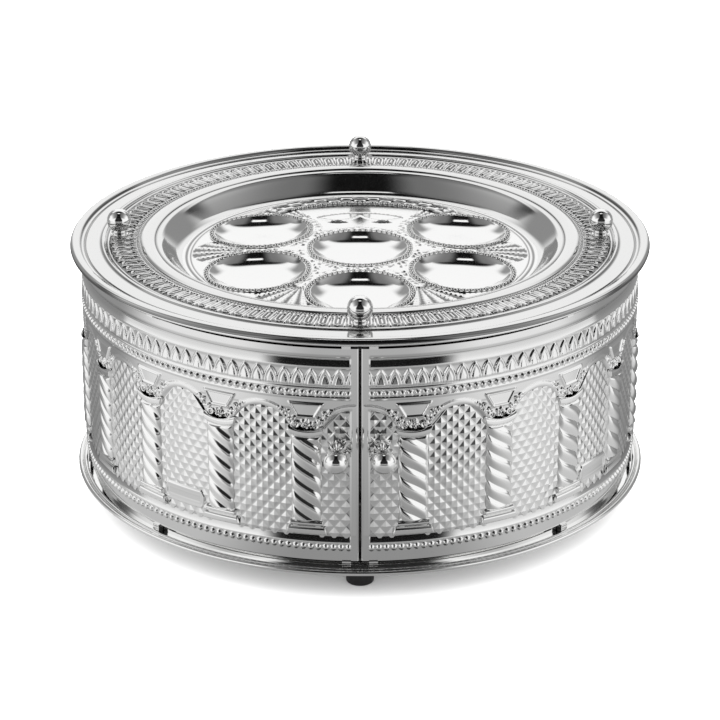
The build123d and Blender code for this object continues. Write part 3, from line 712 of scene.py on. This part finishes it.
def leaf_fan(x, y, spot_radius, turn, reach, spread, leaves):
    """Spray of leaves that fans out from a spot on the tray's floor."""
    away = math.radians(turn)
    east = x - spot_radius * math.sin(away)
    north = y + spot_radius * math.cos(away)
    distance = np.hypot(east, north)
    heading = np.arctan2(east, -north) - away
    heading = np.degrees((heading + np.pi) % math.tau - np.pi)
    share = heading / spread
    leaf = (share + 1) / 2 * leaves
    across = np.abs(leaf % 1 - 0.5)
    width = 0.4 * np.sqrt(np.clip(1 - (2 * distance / reach - 1.1) ** 2, 0, 1))
    blade = bulged(across, np.maximum(width, 0.01)) * (0.8 + 0.2 * np.cos(distance * 1.9))
    vein = 0.5 * bulged(across, 0.06)
    inside = (np.abs(share) < 1) & (distance > 0.1 * reach)
    inside = inside & (distance < reach * (1.02 - 0.3 * share**2))
    return np.where(inside, 1.3 * blade - vein, -1)


def floor_height(turn, radius):
    """Relief and level of the tray's floor, which dips under each dish."""
    x = radius * np.sin(turn)
    y = -radius * np.cos(turn)
    ground = floor_level + floor_rise - floor_slope * np.maximum(radius - floor_flat, 0)
    rim_gap = np.full(x.shape, 99.0)
    for spot_x, spot_y in dish_spots:
        rim_gap = np.minimum(rim_gap, np.hypot(x - spot_x, y - spot_y) - dish_reach)
    # Small leaves curl through the narrow places between the dishes
    curls = np.sin(1.0 * x + 1.3 * np.sin(0.5 * y)) * np.sin(0.8 * y + 1.3 * np.sin(0.5 * x))
    leafy = (rim_gap > 1.6) & (rim_gap < 5.5) & (radius < 96.0)
    relief = np.where(leafy, 0.25 + 0.75 * ramped(-0.7, 0.2, curls), 0.7)
    for place in range(6):
        middle = 30 + 60 * place
        spray = leaf_fan(x, y, 72.0, middle, 35.0, 58.0, 7)
        relief = np.where(spray > -1, np.maximum(spray, 0), relief)
    relief = np.where(radius > 107.6, 0.7, relief)
    relief = np.where(np.abs(radius - 108.6) < 0.6, 0.1, relief)
    relief = np.where(np.abs(radius - 111.2) < 0.6, 0.2, relief)
    # Plain cartouche at the back: a trough for beads behind it, leaves behind those, a dotted
    # line across it and a front edge that rises to a cusp
    side = np.abs(x)
    field_reach = np.hypot(x, y - cartouche_middle)
    front_edge = 55 + np.where(side < 14, 11.5 * (1 - side / 14) ** 2, 6 * ((side - 14) / 14) ** 2)
    behind = (field_reach > 74.0) & (field_reach < 92.0) & (side < 56) & (y > 60)
    petals = np.sin(field_reach * 0.62) * np.cos(np.arctan2(x, y - cartouche_middle) * 30)
    relief = np.where(behind, ramped(-0.3, 0.4, petals), relief)
    relief = np.where(behind & (field_reach < 78.4), 0.0, relief)
    field = (field_reach < 74.0) & (rim_gap > 2.2) & (y > front_edge)
    relief = np.where(field, 0.75, relief)
    dot_reach = np.hypot(x, y - 22.7)
    dots = np.hypot((np.arctan2(x, y - 22.7) * 50 / 2.9 % 1 - 0.5) * 2.9, dot_reach - 50.0)
    relief = np.where(field & (side < 28), relief - 0.8 * ramped(1.3, 0.8, dots), relief)
    relief = np.where((np.abs(y - front_edge) < 0.9) & (side < 28), 1.3, relief)
    relief = np.where(np.hypot((side - 14.5) / 6.5, (y - 51.6) / 2.0) < 1, -0.2, relief)
    level = ground + relief
    for spot_x, spot_y in dish_spots:
        near = np.hypot(x - spot_x, y - spot_y)
        bowl = ground - 0.9 - np.clip(dish_radius - near, 0, dish_depth)
        level = np.where(near < dish_radius + 1, np.minimum(level, bowl), level)
    return relief, level


floor = round_sheet("tray_floor", 640, 0.0, floor_radius, 148, floor_height)
fitted(floor, "drum", "polished_silver", pressed_silver_painted_shade, "seder_tray")


# Dishes
# Six round bowls pressed into the floor, each with a ring of fine beads in its rim. The
# bottoms are left plain. A bow of the same beads lies behind the cartouche.
bead_size = 1.4
bead_ring = 32.6
beads_round = 56
bow_beads = 29
bow_radius = 76.2
bow_start = 54
bow_sweep = 72


def studded(name, spots, size):
    """Small round beads set along a line, as one piece."""
    bpy.ops.object.select_all(action="DESELECT")
    bpy.ops.mesh.primitive_uv_sphere_add(segments=8, ring_count=5, radius=size * mm)
    bead = bpy.context.object
    bpy.ops.object.shade_smooth()
    copies = []
    for spot in spots:
        copy = bead.copy()
        copy.data = bead.data.copy()
        copy.data.transform(Matrix.Translation(spot))
        bpy.context.collection.objects.link(copy)
        copies.append(copy)
    bpy.data.objects.remove(bead)
    return joined(name, copies)


def floor_placed(x, y):
    """Matrix that lays a dish on the tray's floor at a spot, leaning as the floor does."""
    reach = math.hypot(x, y)
    lean = floor_slope / reach if reach > floor_flat else 0.0
    level = floor_level + floor_rise - floor_slope * max(reach - floor_flat, 0) + dish_lift
    normal = Vector((x * lean, y * lean, 1.0))
    turn = Vector((0, 0, 1)).rotation_difference(normal).to_matrix().to_4x4()
    return Matrix.Translation((x * mm, y * mm, level * mm)) @ turn


bowl = []
for radius in (0, 4, 8, 11, 14, 16, 18, 20, 21.5, 23, 24.5, 26, 27, 28, 29, 29.6, 30.1):
    bowl.append((radius, 6.75 * (radius / dish_radius) ** 4.44 - dish_depth))
under = [(radius, height - 0.5) for radius, height in bowl]
rim = [(30.5, 0.8), (30.8, 0.75), (31.0, -0.5), (34.2, -0.5), (34.4, 0.5), (34.8, 0.5), (35.0, -0.9)]
outline = [(radius * mm, height * mm) for radius, height in bowl + rim + under[::-1]]
bead_spots = []
for number, (spot_x, spot_y) in enumerate(dish_spots):
    dish = turned(f"dish_{number}", outline, steps=96, crease=50)
    place = points_of(dish)
    reach = np.hypot(place[:, 0], place[:, 1]) / mm
    # Painted shade: a dark ring in the groove under the beads
    mark_painted_shade(dish, ramped(1.8, 1.65, np.abs(reach - bead_ring)))
    matrix = floor_placed(spot_x, spot_y)
    dish.data.transform(matrix)
    fitted(dish, "drum", "polished_silver", pressed_silver_painted_shade, "seder_tray")
    for index in range(beads_round):
        angle = math.tau * index / beads_round
        ring_x = bead_ring * mm * math.cos(angle)
        ring_y = bead_ring * mm * math.sin(angle)
        bead_spots.append(matrix @ Vector((ring_x, ring_y, 0.5 * mm)))
for index in range(bow_beads):
    angle = math.radians(bow_start + bow_sweep * index / (bow_beads - 1))
    spot = (bow_radius * math.cos(angle), cartouche_middle + bow_radius * math.sin(angle))
    bead_spots.append(floor_placed(*spot) @ Vector((0, 0, 0.3 * mm)))
beads = studded("dish_beads", bead_spots, bead_size)
fitted(beads, "drum", "polished_silver", silver, "seder_tray")


# Finials
# Turned and plated ball nuts on ringed necks, screwed on the upper ends of the tie rods
# to hold the tray down.
finial_foot = [(0, 0), (5.4, 0), (5.4, 0.9), (4.5, 1.2), (4.5, 1.4), (5.0, 2.0), (4.6, 2.6)]
for post in posts:
    low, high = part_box(f"{post}_finial")
    middle = (low + high) / 2
    ball = (high.x - low.x) / 2 + 0.5 * mm
    ball_level = high.z - ball - 0.4 * mm
    outline = [(radius * mm, low.z + height * mm) for radius, height in finial_foot]
    outline += arc((0, ball_level), ball, -58, 90, 26)
    finial = turned(f"{post}_ball_finial", outline, (middle.x, middle.y), steps=56)
    fitted(finial, "drum", "polished_silver", silver, f"{post}_finial")


# Sliding doors
# Two quarters of the same pressed sheet as the rear walls, in front of the drum. Each runs
# in the two rings and carries a ball knob beside the seam.
door_radius = 177.5
door_columns = 640
door_ends = (0.18, 89.82)
for side, start, first_column in (("right", 0, 10.35), ("left", -90, 8.65)):
    name = f"{side}_stamped_door"
    levels = (0.0, door_height)
    door = stamped_sheet(name, door_radius, *door_ends, start, *levels, door_columns, first_column)
    body = f"{side}_sliding_door"
    fit_panel(door, side, "door", body, f"{side}_door", door_radius, start, first_column)
    finished(f"{side}_lower_guides", silver)
    finished(f"{side}_upper_guides", silver)


# Knobs and rosettes
# A turned ball on a short stem, over a pressed flower that spreads on the door. A screw
# from inside the door holds both.
knob_angle = 4.2
knob_level = 96.6
ball_radius = 7.4
ball_out = 192.0
rosette_out = 177.1
petals_round = 8
for side, sign in (("right", 1), ("left", -1)):
    turn = math.radians(sign * knob_angle)
    outward = (math.sin(turn), -math.cos(turn))
    stem = [(0, 180.0), (3.2, 180.0), (3.2, 182.0), (2.4, 182.6), (2.4, 185.0)]
    stem = [(radius * mm, (height - rosette_out) * mm) for radius, height in stem]
    ball = arc((0, (ball_out - rosette_out) * mm), ball_radius * mm, -68, 90, 26)
    knob = turned(f"{side}_ball_knob", stem + ball, steps=56)
    bpy.ops.object.select_all(action="DESELECT")
    bpy.ops.mesh.primitive_uv_sphere_add(segments=20, ring_count=12, radius=3.0 * mm)
    flower = bpy.context.object
    bpy.ops.object.mode_set(mode="EDIT")
    bpy.ops.mesh.select_all(action="SELECT")
    bpy.ops.transform.resize(value=(1.0, 1.0, 0.6))
    bpy.ops.transform.translate(value=(0, 0, 2.0 * mm))
    for petal in range(petals_round):
        angle = math.tau * petal / petals_round
        bpy.ops.mesh.select_all(action="DESELECT")
        bpy.ops.mesh.primitive_uv_sphere_add(segments=12, ring_count=8, radius=1.0 * mm)
        bpy.ops.transform.resize(value=(2.7, 1.6, 1.5))
        bpy.ops.transform.translate(value=(3.8 * mm, 0, 1.4 * mm))
        bpy.ops.transform.rotate(value=angle, orient_axis="Z", center_override=(0, 0, 0))
    bpy.ops.object.mode_set(mode="OBJECT")
    bpy.ops.object.shade_smooth()
    flower.name = f"{side}_flower_rosette"
    for piece, node in ((knob, f"{side}_knob"), (flower, f"{side}_knob_rosette")):
        points = points_of(piece)
        out = points[:, 2] + rosette_out * mm
        x = out * outward[0] - points[:, 0] * outward[1]
        y = out * outward[1] + points[:, 0] * outward[0]
        z = points[:, 1] + knob_level * mm
        set_points(piece, np.column_stack((x, y, z)))
        fitted(piece, f"{side}_sliding_door", "polished_silver", silver, node)


# Table
# Plain white table top under a wide soft lamp that lights the table alone. Seen in the metal
# the table glows with painted shade: grey in front of the doors, lighter at the sides,
# darker at the back and near the drum, and almost black far out in front.
bpy.ops.object.select_all(action="DESELECT")
bpy.ops.mesh.primitive_plane_add(size=24, location=(0, 0, -0.0003))
table = bpy.context.object
table.name = "table_top"
paper_tone = (0.95, 0.95, 0.95, 1.0)
paper, shade = blank_material("white paper")
place = shade.node("ShaderNodeTexCoord", "Object")
side = shade.node("ShaderNodeSeparateXYZ", "X", {}, {"Vector": place})
ahead = shade.node("ShaderNodeSeparateXYZ", "Y", {}, {"Vector": place})
away = shade.math("SQRT", side * side + ahead * ahead)
turn = shade.math("ARCTAN2", abs(side), 0.0 - ahead) * (180 / math.pi)
# Painted shade of the table for glossy rays, by its heading and distance from the drum
mirrored_painted_shade = 0.45 + 0.40 * turn.step(14, 46) - 0.55 * turn.step(72, 100)
mirrored_painted_shade = mirrored_painted_shade * (0.7 + 0.4 * away.step(0.2, 0.6))
mirrored_painted_shade = mirrored_painted_shade * (1 - 0.92 * away.step(0.95, 1.15) * (1 - turn.step(24, 40)))
glossy = shade.node("ShaderNodeLightPath", "Is Glossy Ray")
camera_ray = shade.node("ShaderNodeLightPath", "Is Camera Ray")
tone = 1.0 + (mirrored_painted_shade - 1.0) * glossy
colour = shade.node("ShaderNodeCombineColor", 0, {}, {"Red": tone, "Green": tone, "Blue": tone})
diffuse = shade.node("ShaderNodeBsdfDiffuse", 0, {}, {"Color": paper_tone})
glow = shade.node("ShaderNodeEmission", 0, {}, {"Color": colour, "Strength": 1.0})
share = glossy + camera_ray * 0.12
mixed = shade.node("ShaderNodeMixShader", 0, {}, {0: share, 1: diffuse, 2: glow})
shade.node("ShaderNodeOutputMaterial", 0, {}, {"Surface": mixed})
table.data.materials.append(paper)
lamp_data = bpy.data.lights.new("soft_lamp_above", "SUN")
lamp_data.energy = 2.2 * math.pi
lamp_data.angle = math.radians(150)
soft_lamp = bpy.data.objects.new("soft_lamp_above", lamp_data)
soft_lamp.location = (0, 0, 2)
soft_lamp.visible_glossy = False
bpy.context.collection.objects.link(soft_lamp)
table_alone = bpy.data.collections.new("lit_by_soft_lamp")
table_alone.objects.link(table)
soft_lamp.light_linking.receiver_collection = table_alone


# Studio
# What the metal mirrors: white walls that are darker in the corners and at the sides of the
# back, a grey ceiling with a dark gap over the camera, and one small lamp in that gap.
# Everything else gets plain white light.
plain_light = 1.0
studio = bpy.data.worlds.new("studio")
bpy.context.scene.world = studio
studio.use_nodes = True
studio.node_tree.nodes.clear()
shade = Shade(studio.node_tree)
heading = shade.node("ShaderNodeTexCoord", "Generated")
sky_x = shade.node("ShaderNodeSeparateXYZ", "X", {}, {"Vector": heading})
sky_y = shade.node("ShaderNodeSeparateXYZ", "Y", {}, {"Vector": heading})
sky_z = shade.node("ShaderNodeSeparateXYZ", "Z", {}, {"Vector": heading})
over = shade.math("ARCTAN2", sky_z, sky_y) * (180 / math.pi)
upright = shade.math("SQRT", sky_y * sky_y + sky_z * sky_z)
aside = abs(sky_x) / upright
gap_width = 0.26 + 0.26 * (1 - over.step(64, 78)) + 0.42 * over.step(118, 162)
gap = 1 - (aside - gap_width).step(-0.1, 0.16)
gap = gap * over.step(63, 67) * (1 - over.step(170, 172))
low_front = over.step(160, 168) * (1 - aside.step(0.5, 0.8))
border = 62 - 28 * aside.step(0.7, 0.95)
ceiling = (over - border).step(-4, 4) * (1 - over.step(128, 146)) * (1 - aside.step(0.4, 2.2))
corners = over.step(28, 36) * (1 - over.step(44, 58))
corners = corners * aside.step(0.85, 1.0) * (1 - aside.step(1.3, 1.8))
back_sides = aside.step(0.3, 0.5) * (1 - aside.step(2.0, 4.0)) * (1 - over.step(30, 50))
level = (1.0 - 0.82 * ceiling) * (1 - 0.7 * back_sides)
level = level * (1 - 0.7 * corners) * (1 - 0.66 * low_front) * (1 - 0.98 * gap)
lamp_spot = (1 - abs(over - 90).step(3, 5)) * (1 - aside.step(0.15, 0.19))
level = level + 1.1 * lamp_spot
glossy = shade.node("ShaderNodeLightPath", "Is Glossy Ray")
strength = plain_light + glossy * (level - plain_light)
light = shade.node("ShaderNodeBackground", 0, {}, {"Color": (1, 1, 1, 1), "Strength": strength})
shade.node("ShaderNodeOutputWorld", 0, {}, {"Surface": light})


# Camera
# Long lens straight in front of the seam, looking down on the tray by 22 degrees.
camera_target = (0.0, 0.0, 82.34 * mm)
camera_distance = 1777.1 * mm
camera_rise = math.radians(22.44)
camera_data = bpy.data.cameras.new("camera")
camera_data.lens = 136.1
camera_data.sensor_width = 36.0
camera = bpy.data.objects.new("camera", camera_data)
bpy.context.collection.objects.link(camera)
camera.location = (
    camera_target[0],
    camera_target[1] - camera_distance * math.cos(camera_rise),
    camera_target[2] + camera_distance * math.sin(camera_rise),
)
camera.rotation_euler = (math.pi / 2 - camera_rise, 0, 0)
bpy.context.scene.camera = camera
bpy.context.scene.view_settings.view_transform = "Standard"
